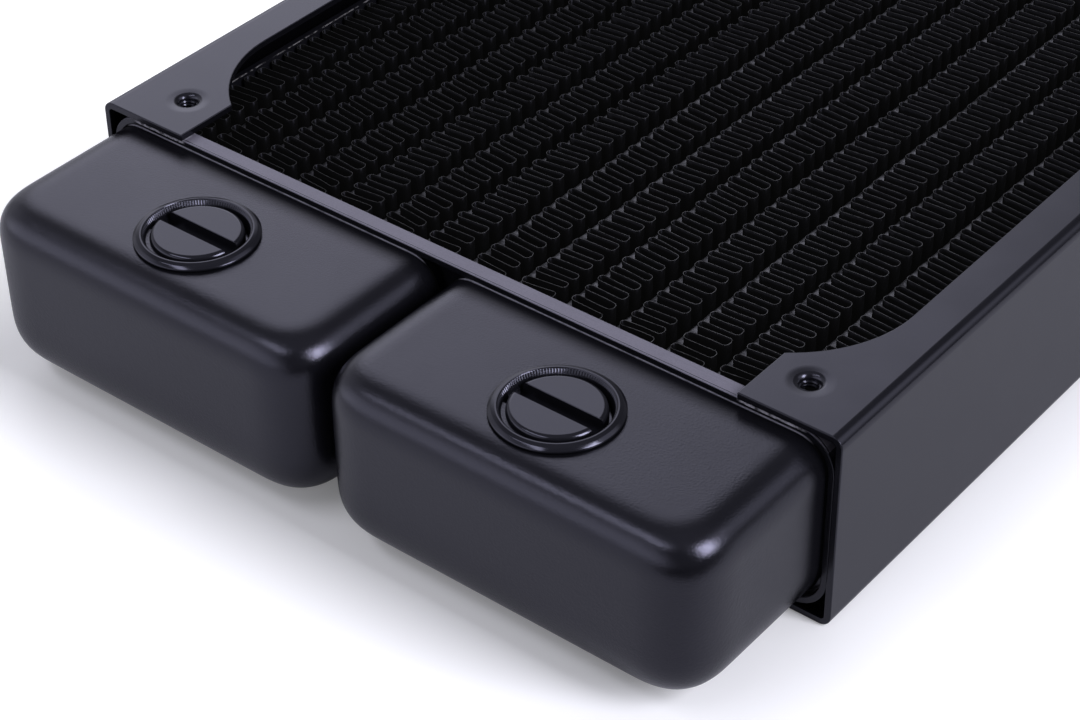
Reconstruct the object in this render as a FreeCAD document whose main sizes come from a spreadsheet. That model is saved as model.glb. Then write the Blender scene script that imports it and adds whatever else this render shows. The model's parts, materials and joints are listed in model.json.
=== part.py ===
import FreeCAD, Part
import os

import Sketcher
from FreeCAD import Vector

# A slim liquid cooling radiator for one 120 mm fan: two port tanks side by side at one end, one
# return tank at the other, a core of flat tubes and folded fin strips between two header pans,
# and two folded side frames that carry the screw holes. A slotted plug closes each port.
#
# All lengths are in millimetres. X runs across the width, Y along the length with the ports
# towards -Y, and Z up. The origin is at the middle of the underside.

PARTS_FOLDER = "parts"

# The driving dimensions: each becomes a cell of the sheet, with its name as the alias.
DIMENSIONS = {
    # outside sizes
    "radiator_width": 124.0,
    "radiator_height": 30.0,
    "hole_spacing": 105.0,
    "frame_overhang": 7.2,
    "port_tank_reach": 26.9,
    "return_tank_reach": 10.7,
    # side frames, folded from sheet
    "frame_sheet": 1.0,
    "bend_radius": 1.6,
    "tab_inner_edge": 46.75,
    "flange_inner_edge": 55.2,
    "cutout_radius": 19.8,
    "cutout_setback": 19.15,
    "screw_hole_radius": 1.3,
    "screw_collar_radius": 2.3,
    "screw_collar_depth": 0.9,
    "screw_rim_round": 0.8,
    # header pans
    "fit_gap": 0.05,
    "header_setback": 0.35,
    "header_depth": 2.5,
    "header_sheet": 1.0,
    "header_corner_radius": 5.5,
    # tanks
    "tank_wall": 1.0,
    "tank_gap": 1.4,
    "tank_top_edge_radius": 4.6,
    "tank_bottom_edge_radius": 6.6,
    "tank_corner_radius": 7.6,
    # core
    "row_pitch": 7.86,
    "tube_thickness": 1.96,
    "tube_depth": 20.6,
    "tube_wall": 0.28,
    "tube_side_round": 0.9,
    "tube_stand_out": 0.5,
    "solder_gap": 0.02,
    "fin_setback": 2.6,
    "fin_sheet": 0.1,
    "fin_leg_pitch": 1.36,
    "side_plate_thickness": 1.0,
    # ports and plugs
    "port_offset": 30.2,
    "port_setback": 13.9,
    "port_bore_radius": 6.58,
    "boss_outer_radius": 9.5,
    "boss_length": 9.4,
    "boss_top_bevel": 1.0,
    "boss_seat_radius": 8.05,
    "boss_seat_depth": 2.1,
    "plug_ring_radius": 8.5,
    "plug_ring_inner_radius": 7.2,
    "plug_ring_height": 0.85,
    "plug_ring_lift": 0.1,
    "plug_head_radius": 7.95,
    "plug_head_depth": 1.8,
    "plug_groove_depth": 1.1,
    "plug_disc_radius": 5.65,
    "plug_disc_height": 1.15,
    "plug_edge_round": 0.35,
    "plug_slot_width": 1.95,
    "plug_thread_radius": 6.5,
    "plug_length": 8.4,
    "seal_radius": 7.2,
    "seal_thickness": 1.28,
}

TUBES_PER_SIDE = 6
FIN_STRIPS = 2 * (TUBES_PER_SIDE + 1)
FIN_LEGS = 83

# Lengths worked out from the driving dimensions. Local Y is measured from the middle of the core
# and local Z from mid-height, except in the ports, where Z is measured from the tank's top face.
MID_HEIGHT = "sizes.radiator_height / 2"
CORE_MIDDLE = "(sizes.port_tank_reach - sizes.return_tank_reach) / 2"
FRAME_HALF_WIDTH = "sizes.radiator_width / 2"
FRAME_HALF_LENGTH = "(sizes.hole_spacing / 2 + sizes.frame_overhang)"
CORE_HALF_LENGTH = f"({FRAME_HALF_LENGTH} - sizes.header_setback - sizes.header_depth)"
HEADER_FLOOR_OUTSIDE = f"({CORE_HALF_LENGTH} + sizes.header_sheet)"
PAN_HALF_WIDTH = f"({FRAME_HALF_WIDTH} - sizes.frame_sheet - sizes.fit_gap)"
PAN_HALF_HEIGHT = "(sizes.radiator_height / 2 - sizes.frame_sheet - sizes.fit_gap)"
TANK_HALF_WIDTH = f"({PAN_HALF_WIDTH} - sizes.header_sheet - sizes.fit_gap)"
TANK_HALF_HEIGHT = f"({PAN_HALF_HEIGHT} - sizes.header_sheet - sizes.fit_gap)"
TANK_MOUTH = f"({HEADER_FLOOR_OUTSIDE} + sizes.solder_gap)"
TANK_TOP = f"({MID_HEIGHT} + {TANK_HALF_HEIGHT})"
PORT_Y = f"{CORE_MIDDLE} - {FRAME_HALF_LENGTH} - sizes.port_setback"
FIN_DEPTH = "(sizes.radiator_height - 2 * sizes.fin_setback)"
FIN_WIDTH = "(sizes.row_pitch - sizes.tube_thickness - 2 * sizes.solder_gap)"
TUBE_HALF_LENGTH = f"({HEADER_FLOOR_OUTSIDE} + sizes.tube_stand_out)"
SIDE_PLATE_INSIDE = f"({FIN_STRIPS / 2 - 0.5} * sizes.row_pitch + {FIN_WIDTH} / 2 + sizes.solder_gap)"

document = FreeCAD.newDocument("radiator")
sheet = document.addObject("Spreadsheet::Sheet", "sizes")
for row, (alias, length) in enumerate(DIMENSIONS.items(), start=1):
    sheet.set(f"A{row}", str(length))
    sheet.setAlias(f"A{row}", alias)
document.recompute()

cuts = []


def number(expression):
    """The value of an expression over the sheet's cells."""
    return float(sheet.evalExpression(expression))


def place(piece, x="0", y=CORE_MIDDLE, z=MID_HEIGHT):
    """Bind a piece's place to the sheet."""
    for axis, expression in zip("xyz", (x, y, z)):
        piece.setExpression(f"Placement.Base.{axis}", expression)


def new_body(label):
    body = document.addObject("PartDesign::Body", label)
    body.Label = label
    return body


def new_sketch(body, name, plane, normal_offset="0", side_offset="0"):
    """A sketch on one of the body's own planes, moved along its normal and its first axis."""
    sketch = body.newObject("Sketcher::SketchObject", f"{body.Label}_{name}")
    support = [item for item in body.Origin.OriginFeatures if item.Role == plane]
    sketch.AttachmentSupport = [(support[0], "")]
    sketch.MapMode = "FlatFace"
    sketch.setExpression("AttachmentOffset.Base.z", normal_offset)
    sketch.setExpression("AttachmentOffset.Base.x", side_offset)
    return sketch


def hold(sketch, kind, geometry, vertex, expression):
    """Hold one coordinate of a sketch point at a length bound to the sheet."""
    length = number(expression)
    constraint = sketch.addConstraint(Sketcher.Constraint(kind, -1, 1, geometry, vertex, length))
    sketch.setExpression(f"Constraints[{constraint}]", expression)


def polygon_sketch(body, name, plane, loops, normal_offset="0", side_offset="0"):
    """Closed straight-sided outlines. Each corner is a pair of expressions."""
    sketch = new_sketch(body, name, plane, normal_offset, side_offset)
    for corners in loops:
        points = [Vector(number(first), number(second), 0) for first, second in corners]
        start = sketch.GeometryCount
        count = len(points)
        for index, point in enumerate(points):
            sketch.addGeometry(Part.LineSegment(point, points[(index + 1) % count]))
        for index in range(count):
            joined = start + (index + 1) % count
            sketch.addConstraint(Sketcher.Constraint("Coincident", start + index, 2, joined, 1))
        for index, (first, second) in enumerate(corners):
            hold(sketch, "DistanceX", start + index, 1, first)
            hold(sketch, "DistanceY", start + index, 1, second)
    return sketch


def circle_sketch(body, name, plane, centres, radius, normal_offset="0"):
    """Circles of one radius. Each centre is a pair of expressions."""
    sketch = new_sketch(body, name, plane, normal_offset)
    for first, second in centres:
        centre = Vector(number(first), number(second), 0)
        circle = sketch.addGeometry(Part.Circle(centre, Vector(0, 0, 1), number(radius)))
        hold(sketch, "DistanceX", circle, 3, first)
        hold(sketch, "DistanceY", circle, 3, second)
        constraint = sketch.addConstraint(Sketcher.Constraint("Radius", circle, number(radius)))
        sketch.setExpression(f"Constraints[{constraint}]", radius)
    return sketch


def rectangle(x_low, x_high, y_low, y_high):
    """The four corners of a rectangle."""
    return [(x_low, y_low), (x_high, y_low), (x_high, y_high), (x_low, y_high)]


def centred_rectangle(half_width, half_height):
    return rectangle(f"-({half_width})", half_width, f"-({half_height})", half_height)


def pad(body, sketch, length):
    """Thicken a sketch equally to both sides."""
    feature = body.newObject("PartDesign::Pad", f"{sketch.Name}_pad")
    feature.Profile = sketch
    feature.SideType = "Symmetric"
    feature.setExpression("Length", length)
    document.recompute()
    return feature


def pocket(body, sketch, length, both_sides=True, upwards=False):
    """Cut a sketch out of the body: equally to both sides, or down or up from the sketch."""
    feature = body.newObject("PartDesign::Pocket", f"{sketch.Name}_pocket")
    feature.Profile = sketch
    feature.SideType = "Symmetric" if both_sides else "One side"
    feature.Reversed = upwards
    feature.setExpression("Length", length)
    document.recompute()
    cuts.append(feature)
    return feature


def revolve(body, sketch):
    """Turn a sketch round its own vertical axis."""
    feature = body.newObject("PartDesign::Revolution", f"{sketch.Name}_turned")
    feature.Profile = sketch
    feature.ReferenceAxis = (sketch, ["V_Axis"])
    feature.Angle = 360
    document.recompute()
    return feature


def round_edges(body, name, radius, chosen):
    """Round the edges of the body for which chosen(edge) is true."""
    base = body.Tip
    edges = [f"Edge{i}" for i, edge in enumerate(base.Shape.Edges, start=1) if chosen(edge)]
    if not edges:
        raise RuntimeError(f"{body.Label}: no edge to round for {name}")
    feature = body.newObject("PartDesign::Fillet", f"{body.Label}_{name}")
    feature.Base = (base, edges)
    feature.setExpression("Radius", radius)
    document.recompute()
    return feature


def hollow(body, name, wall, open_faces):
    """Hollow the body to a wall, open at the faces for which open_faces(face) is true."""
    base = body.Tip
    faces = [f"Face{i}" for i, face in enumerate(base.Shape.Faces, start=1) if open_faces(face)]
    feature = body.newObject("PartDesign::Thickness", f"{body.Label}_{name}")
    feature.Base = (base, faces)
    feature.Reversed = True
    feature.setExpression("Value", wall)
    document.recompute()
    cuts.append(feature)
    return feature


def near(first, second):
    return abs(first - second) < 1e-4


def runs_along(edge, axis):
    """Is this a straight edge parallel to an axis?"""
    if len(edge.Vertexes) != 2 or edge.Curve.TypeId != "Part::GeomLine":
        return False
    start, end = (vertex.Point for vertex in edge.Vertexes)
    return all(near(getattr(start, other), getattr(end, other)) for other in "xyz" if other != axis)


def lies_at(shape, axis, position):
    """Does the whole edge or face lie in the plane at this position on the axis?"""
    box = shape.BoundBox
    low, high = getattr(box, f"{axis.upper()}Min"), getattr(box, f"{axis.upper()}Max")
    return near(low, position) and near(high, position)


def side_frame(label, side):
    """A C-section folded from sheet. Its flanges widen to a tab with a screw hole at each end."""
    body = new_body(label)
    outside = f"{side} * {FRAME_HALF_WIDTH}"
    web_inside = f"{side} * ({FRAME_HALF_WIDTH} - sizes.frame_sheet)"
    flange_end = f"{side} * sizes.tab_inner_edge"
    top = MID_HEIGHT
    under_top = f"({MID_HEIGHT} - sizes.frame_sheet)"
    section = [
        (flange_end, top),
        (outside, top),
        (outside, f"-{top}"),
        (flange_end, f"-{top}"),
        (flange_end, f"-{under_top}"),
        (web_inside, f"-{under_top}"),
        (web_inside, under_top),
        (flange_end, under_top),
    ]
    pad(body, polygon_sketch(body, "section", "XZ_Plane", [section]), f"2 * {FRAME_HALF_LENGTH}")

    def outer_bend(edge):
        return runs_along(edge, "y") and near(edge.Vertexes[0].X, number(outside))

    def inner_bend(edge):
        return runs_along(edge, "y") and near(edge.Vertexes[0].X, number(web_inside))

    round_edges(body, "outer_bends", "sizes.bend_radius", outer_bend)
    round_edges(body, "inner_bends", "sizes.bend_radius - sizes.frame_sheet", inner_bend)

    # The flanges are cut back between the tabs, round an arc that meets the straight edge.
    arc_x = f"{side} * (sizes.flange_inner_edge - sizes.cutout_radius)"
    arc_y = "(sizes.hole_spacing / 2 - sizes.cutout_setback)"
    arcs = circle_sketch(
        body, "arcs", "XY_Plane", [(arc_x, arc_y), (arc_x, f"-{arc_y}")], "sizes.cutout_radius"
    )
    pocket(body, arcs, "2 * sizes.radiator_height")
    straight = rectangle(arc_x, f"{side} * sizes.flange_inner_edge", f"-{arc_y}", arc_y)
    pocket(
        body, polygon_sketch(body, "cutback", "XY_Plane", [straight]), "2 * sizes.radiator_height"
    )

    # Each screw hole is drawn down into a short collar, with a rounded rim.
    hole_x = f"{side} * sizes.hole_spacing / 2"
    holes = [(hole_x, "sizes.hole_spacing / 2"), (hole_x, "-sizes.hole_spacing / 2")]
    collar_height = f"({under_top} - sizes.screw_collar_depth / 2)"
    for name, height in (("upper_collars", collar_height), ("lower_collars", f"-{collar_height}")):
        collars = circle_sketch(body, name, "XY_Plane", holes, "sizes.screw_collar_radius", height)
        pad(body, collars, "sizes.screw_collar_depth + 2 * sizes.fit_gap")
    bores = circle_sketch(body, "screw_holes", "XY_Plane", holes, "sizes.screw_hole_radius")
    pocket(body, bores, "2 * sizes.radiator_height")

    def hole_rim(edge):
        if len(edge.Vertexes) != 1 or not near(edge.Curve.Radius, number("sizes.screw_hole_radius")):
            return False
        return near(abs(edge.Vertexes[0].Z), number(MID_HEIGHT))

    round_edges(body, "hole_rims", "sizes.screw_rim_round", hole_rim)
    place(body)


def header_plate(label, end):
    """A shallow pan that takes the tube ends in its floor and the tanks inside its rim."""
    body = new_body(label)
    middle = f"{-end} * ({CORE_HALF_LENGTH} + sizes.header_depth / 2)"
    outline = centred_rectangle(PAN_HALF_WIDTH, PAN_HALF_HEIGHT)
    pad(
        body,
        polygon_sketch(body, "outline", "XZ_Plane", [outline], normal_offset=middle),
        "sizes.header_depth",
    )
    round_edges(
        body, "corners", "sizes.header_corner_radius", lambda edge: runs_along(edge, "y")
    )
    rim = end * number(f"{CORE_HALF_LENGTH} + sizes.header_depth")
    hollow(body, "pan", "sizes.header_sheet", lambda face: lies_at(face, "y", rim))
    slot_half_width = "(sizes.tube_thickness / 2 + sizes.solder_gap)"
    slot_half_height = "(sizes.tube_depth / 2 + sizes.solder_gap)"
    slots = []
    for step in tube_steps():
        middle_x = f"{step} * sizes.row_pitch"
        slots.append(
            rectangle(
                f"{middle_x} - {slot_half_width}",
                f"{middle_x} + {slot_half_width}",
                f"-{slot_half_height}",
                slot_half_height,
            )
        )
    slot_sketch = polygon_sketch(body, "tube_slots", "XZ_Plane", slots, normal_offset=middle)
    pocket(body, slot_sketch, "2 * sizes.header_depth")
    place(body)


def tube_steps():
    """The tubes' places in rows from the middle. The middle place holds no coolant tube."""
    return [step for step in range(-TUBES_PER_SIDE, TUBES_PER_SIDE + 1) if step != 0]


def tank(label, end, x_low, x_high, closed_end):
    """A drawn tank, open towards the header, with every outside edge well rounded."""
    body = new_body(label)
    mouth = f"{end} * {TANK_MOUTH}"
    outline = rectangle(x_low, x_high, mouth, closed_end)
    pad(body, polygon_sketch(body, "outline", "XY_Plane", [outline]), f"2 * {TANK_HALF_HEIGHT}")
    mouth_y = number(mouth)

    def closed_corner(edge):
        return runs_along(edge, "z") and not near(edge.Vertexes[0].Y, mouth_y)

    def edges_at(height):
        return lambda edge: lies_at(edge, "z", height) and not lies_at(edge, "y", mouth_y)

    half_height = number(TANK_HALF_HEIGHT)
    round_edges(body, "corners", "sizes.tank_corner_radius", closed_corner)
    round_edges(body, "top_edges", "sizes.tank_top_edge_radius", edges_at(half_height))
    round_edges(body, "bottom_edges", "sizes.tank_bottom_edge_radius", edges_at(-half_height))
    hollow(body, "chamber", "sizes.tank_wall", lambda face: lies_at(face, "y", mouth_y))
    place(body)
    return body


def port_tank(label, side):
    """A tank at the port end, with a hole in its top for the plug's head."""
    inner = f"{side} * sizes.tank_gap / 2"
    outer = f"{side} * {TANK_HALF_WIDTH}"
    x_low, x_high = (inner, outer) if side > 0 else (outer, inner)
    closed_end = f"-({FRAME_HALF_LENGTH} + sizes.port_tank_reach)"
    body = tank(label, -1, x_low, x_high, closed_end)
    centre = (f"{side} * sizes.port_offset", f"-({FRAME_HALF_LENGTH} + sizes.port_setback)")
    hole = circle_sketch(
        body, "port_hole", "XY_Plane", [centre], "sizes.boss_seat_radius", TANK_HALF_HEIGHT
    )
    pocket(body, hole, "2 * sizes.tank_wall", both_sides=False)


def return_tank(label):
    """The tank that turns the coolant back, across the full width."""
    closed_end = f"{FRAME_HALF_LENGTH} + sizes.return_tank_reach"
    tank(label, 1, f"-{TANK_HALF_WIDTH}", TANK_HALF_WIDTH, closed_end)


def port_boss(label, side):
    """The threaded bush under the tank's top, with a seat for the plug's head and seal.

    Its top is bevelled to clear the round inside edge of the tank.
    """
    body = new_body(label)
    top = "-sizes.tank_wall - sizes.solder_gap"
    seat = "-sizes.tank_wall - sizes.boss_seat_depth"
    bottom = "-sizes.tank_wall - sizes.boss_length"
    profile = [
        ("sizes.port_bore_radius", bottom),
        ("sizes.boss_outer_radius", bottom),
        ("sizes.boss_outer_radius", f"{top} - sizes.boss_top_bevel"),
        ("sizes.boss_outer_radius - sizes.boss_top_bevel", top),
        ("sizes.boss_seat_radius", top),
        ("sizes.boss_seat_radius", seat),
        ("sizes.port_bore_radius", seat),
    ]
    revolve(body, polygon_sketch(body, "profile", "XZ_Plane", [profile]))
    place(body, f"{side} * sizes.port_offset", PORT_Y, TANK_TOP)


def port_plug(label, side):
    """A screw plug: a ring round a slotted disc, over a threaded shank."""
    body = new_body(label)
    head_bottom = "-sizes.plug_head_depth"
    groove_floor = "-sizes.plug_groove_depth"
    profile = [
        ("0", "-sizes.plug_length"),
        ("sizes.plug_thread_radius", "-sizes.plug_length"),
        ("sizes.plug_thread_radius", head_bottom),
        ("sizes.plug_head_radius", head_bottom),
        ("sizes.plug_head_radius", "sizes.plug_ring_lift"),
        ("sizes.plug_ring_radius", "sizes.plug_ring_lift"),
        ("sizes.plug_ring_radius", "sizes.plug_ring_height"),
        ("sizes.plug_ring_inner_radius", "sizes.plug_ring_height"),
        ("sizes.plug_ring_inner_radius", groove_floor),
        ("sizes.plug_disc_radius", groove_floor),
        ("sizes.plug_disc_radius", "sizes.plug_disc_height"),
        ("0", "sizes.plug_disc_height"),
    ]
    revolve(body, polygon_sketch(body, "profile", "XZ_Plane", [profile]))

    def exposed_rim(edge):
        if edge.Curve.TypeId != "Part::GeomCircle":
            return False
        height = edge.BoundBox.ZMax
        return near(height, number("sizes.plug_ring_height")) or near(
            height, number("sizes.plug_disc_height")
        )

    round_edges(body, "rims", "sizes.plug_edge_round", exposed_rim)
    slot = centred_rectangle("(sizes.plug_disc_radius + 2 * sizes.fit_gap)", "sizes.plug_slot_width / 2")
    slot_sketch = polygon_sketch(body, "slot", "XY_Plane", [slot], normal_offset=groove_floor)
    pocket(body, slot_sketch, "sizes.plug_length", both_sides=False, upwards=True)
    place(body, f"{side} * sizes.port_offset", PORT_Y, TANK_TOP)


def o_ring(label, side):
    """The seal under the plug's head."""
    ring = document.addObject("Part::Torus", label)
    ring.Label = label
    ring.setExpression("Radius1", "sizes.seal_radius")
    ring.setExpression("Radius2", "sizes.seal_thickness / 2")
    seal_middle = "(sizes.plug_head_depth + sizes.tank_wall + sizes.boss_seat_depth) / 2"
    place(ring, f"{side} * sizes.port_offset", PORT_Y, f"{TANK_TOP} - {seal_middle}")


def flat_tube(label, step, half_length, is_open):
    """A flat tube on edge, its narrow sides rounded."""
    body = new_body(label)
    outline = centred_rectangle("sizes.tube_thickness / 2", "sizes.tube_depth / 2")
    pad(body, polygon_sketch(body, "outline", "XZ_Plane", [outline]), f"2 * {half_length}")
    round_edges(body, "sides", "sizes.tube_side_round", lambda edge: runs_along(edge, "y"))
    if is_open:
        inside = centred_rectangle(
            "(sizes.tube_thickness / 2 - sizes.tube_wall)",
            "(sizes.tube_depth / 2 - sizes.tube_side_round)",
        )
        bore = polygon_sketch(body, "inside", "XZ_Plane", [inside])
        pocket(body, bore, f"4 * {half_length}")
    place(body, f"{step} * sizes.row_pitch")


def core_side_plate(label, side):
    """The plate that closes the core beside the outermost fin strip."""
    plate = document.addObject("Part::Box", label)
    plate.Label = label
    gap = "sizes.solder_gap"
    plate.setExpression("Length", "sizes.side_plate_thickness")
    plate.setExpression("Width", f"2 * ({CORE_HALF_LENGTH} - {gap})")
    plate.setExpression("Height", FIN_DEPTH)
    low_x = SIDE_PLATE_INSIDE if side > 0 else f"-{SIDE_PLATE_INSIDE} - sizes.side_plate_thickness"
    place(plate, low_x, f"{CORE_MIDDLE} - {CORE_HALF_LENGTH} + {gap}", "sizes.fin_setback")


def folded_strip():
    """A strip folded to and fro: straight legs along X, joined by half-round turns."""
    thickness = number("sizes.fin_sheet")
    spacing = number("sizes.fin_leg_pitch")
    turn_radius = spacing / 2
    turn_centre = number(FIN_WIDTH) / 2 - turn_radius - thickness / 2
    first_leg = -(FIN_LEGS - 1) / 2 * spacing
    depth = number(FIN_DEPTH)

    def leg_point(leg, side, face):
        across = first_leg + leg * spacing + face * thickness / 2
        return Vector(side * turn_centre, across, -depth / 2)

    def one_face(first_side):
        """The edges along one face of the strip, which is outside every second turn."""
        edges = []
        for leg in range(FIN_LEGS):
            side = 1 if leg % 2 == 0 else -1
            face = -first_side * side
            edges.append(Part.makeLine(leg_point(leg, -side, face), leg_point(leg, side, face)))
            if leg == FIN_LEGS - 1:
                break
            turn_middle = first_leg + (leg + 0.5) * spacing
            reach = turn_centre + turn_radius - face * thickness / 2
            turn = Part.Arc(
                leg_point(leg, side, face),
                Vector(side * reach, turn_middle, -depth / 2),
                leg_point(leg + 1, side, -face),
            )
            edges.append(turn.toShape())
        return edges

    ends = []
    last_side = 1 if FIN_LEGS % 2 else -1
    for leg, side in ((0, -1), (FIN_LEGS - 1, last_side)):
        ends.append(Part.makeLine(leg_point(leg, side, -1), leg_point(leg, side, 1)))
    outline = Part.Wire(Part.__sortEdges__(one_face(1) + one_face(-1) + ends))
    return Part.Face(outline).extrude(Vector(0, 0, depth))


def fin_strip(label, place_in_row, shape):
    strip = document.addObject("Part::Feature", label)
    strip.Label = label
    strip.Shape = shape
    place(strip, f"{place_in_row} * sizes.row_pitch")


def build_model():
    for name, side in (("left", -1), ("right", 1)):
        side_frame(f"side_frame_{name}", side)
        core_side_plate(f"core_side_plate_{name}", side)
        port_boss(f"port_boss_{name}", side)
        port_plug(f"port_plug_{name}", side)
        o_ring(f"o_ring_{name}", side)
    header_plate("header_plate_front", -1)
    header_plate("header_plate_rear", 1)
    port_tank("tank_inlet", -1)
    port_tank("tank_outlet", 1)
    return_tank("tank_return")
    for index, step in enumerate(tube_steps(), start=1):
        flat_tube(f"tube_{index:02d}", step, TUBE_HALF_LENGTH, is_open=True)
    flat_tube("centre_spacer", 0, f"({CORE_HALF_LENGTH} - sizes.solder_gap)", is_open=False)
    strip_shape = folded_strip()
    for index in range(FIN_STRIPS):
        place_in_row = index - (FIN_STRIPS - 1) / 2
        fin_strip(f"fin_strip_{index + 1:02d}", place_in_row, strip_shape)


def check_model():
    """Stop if any object failed to build, or a cut removed nothing."""
    for item in document.Objects:
        if "Invalid" in item.State or "Error" in item.State:
            raise RuntimeError(f"{item.Name} failed: {item.State}")
    for cut in cuts:
        if cut.Shape.Volume > cut.BaseFeature.Shape.Volume - 0.1:
            raise RuntimeError(f"{cut.Name} cut nothing")


def sub_parts():
    kinds = ("PartDesign::Body", "Part::Box", "Part::Torus", "Part::Feature")
    return [item for item in document.Objects if item.TypeId in kinds]


build_model()
document.recompute()
check_model()
os.makedirs(PARTS_FOLDER, exist_ok=True)
for piece in sub_parts():
    if piece.Shape.isNull() or not piece.Shape.isValid() or len(piece.Shape.Solids) != 1:
        raise RuntimeError(f"{piece.Label} is not one valid solid")
    piece.Shape.exportStep(os.path.join(PARTS_FOLDER, f"{piece.Label}.step"))
print(len(sub_parts()), "pieces written")
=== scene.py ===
import json
import math
import random

import bmesh
import bpy
from mathutils import Matrix, Vector, noise


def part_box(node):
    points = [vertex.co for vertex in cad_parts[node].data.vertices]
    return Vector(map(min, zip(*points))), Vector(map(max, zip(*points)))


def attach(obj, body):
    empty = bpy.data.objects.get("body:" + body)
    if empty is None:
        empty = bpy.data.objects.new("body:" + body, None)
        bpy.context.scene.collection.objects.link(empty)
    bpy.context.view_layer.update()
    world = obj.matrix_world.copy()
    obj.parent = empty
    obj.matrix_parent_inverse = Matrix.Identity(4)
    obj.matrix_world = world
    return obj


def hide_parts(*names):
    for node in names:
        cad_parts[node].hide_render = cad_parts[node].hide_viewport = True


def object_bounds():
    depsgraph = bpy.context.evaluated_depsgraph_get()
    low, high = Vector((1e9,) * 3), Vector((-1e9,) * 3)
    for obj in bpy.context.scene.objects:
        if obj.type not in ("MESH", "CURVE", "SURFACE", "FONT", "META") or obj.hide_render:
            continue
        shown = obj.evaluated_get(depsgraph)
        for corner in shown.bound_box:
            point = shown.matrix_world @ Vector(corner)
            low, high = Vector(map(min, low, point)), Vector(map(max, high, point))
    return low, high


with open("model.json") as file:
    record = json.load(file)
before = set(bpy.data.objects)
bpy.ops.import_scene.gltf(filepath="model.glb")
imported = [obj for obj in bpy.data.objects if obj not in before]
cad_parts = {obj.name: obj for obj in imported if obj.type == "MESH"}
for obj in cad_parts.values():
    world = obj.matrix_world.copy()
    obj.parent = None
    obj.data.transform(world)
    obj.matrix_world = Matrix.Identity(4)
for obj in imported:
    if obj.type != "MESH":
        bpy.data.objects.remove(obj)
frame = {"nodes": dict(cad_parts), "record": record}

# Lengths are in metres in the CAD part's own frame. The radiator's sizes are written in
# millimetres times MM, and the studio's in metres. X runs across the radiator, Y along it with
# the ports towards -Y, and Z up.
MM = 0.001
CAD_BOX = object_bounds()
NODES = frame["nodes"]

FRAME_LOW, FRAME_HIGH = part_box("side_frame_right")
TOP = FRAME_HIGH.z
FRONT_EDGE = FRAME_LOW.y
BODY = "radiator"
HOLE_X = 52.5 * MM
HOLE_MIDDLE_Y = 8.1 * MM
PAN_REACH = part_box("header_plate_rear")[1].y - HOLE_MIDDLE_Y


# ---------------------------------------------------------------------------------------------
# Materials
# ---------------------------------------------------------------------------------------------

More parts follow.
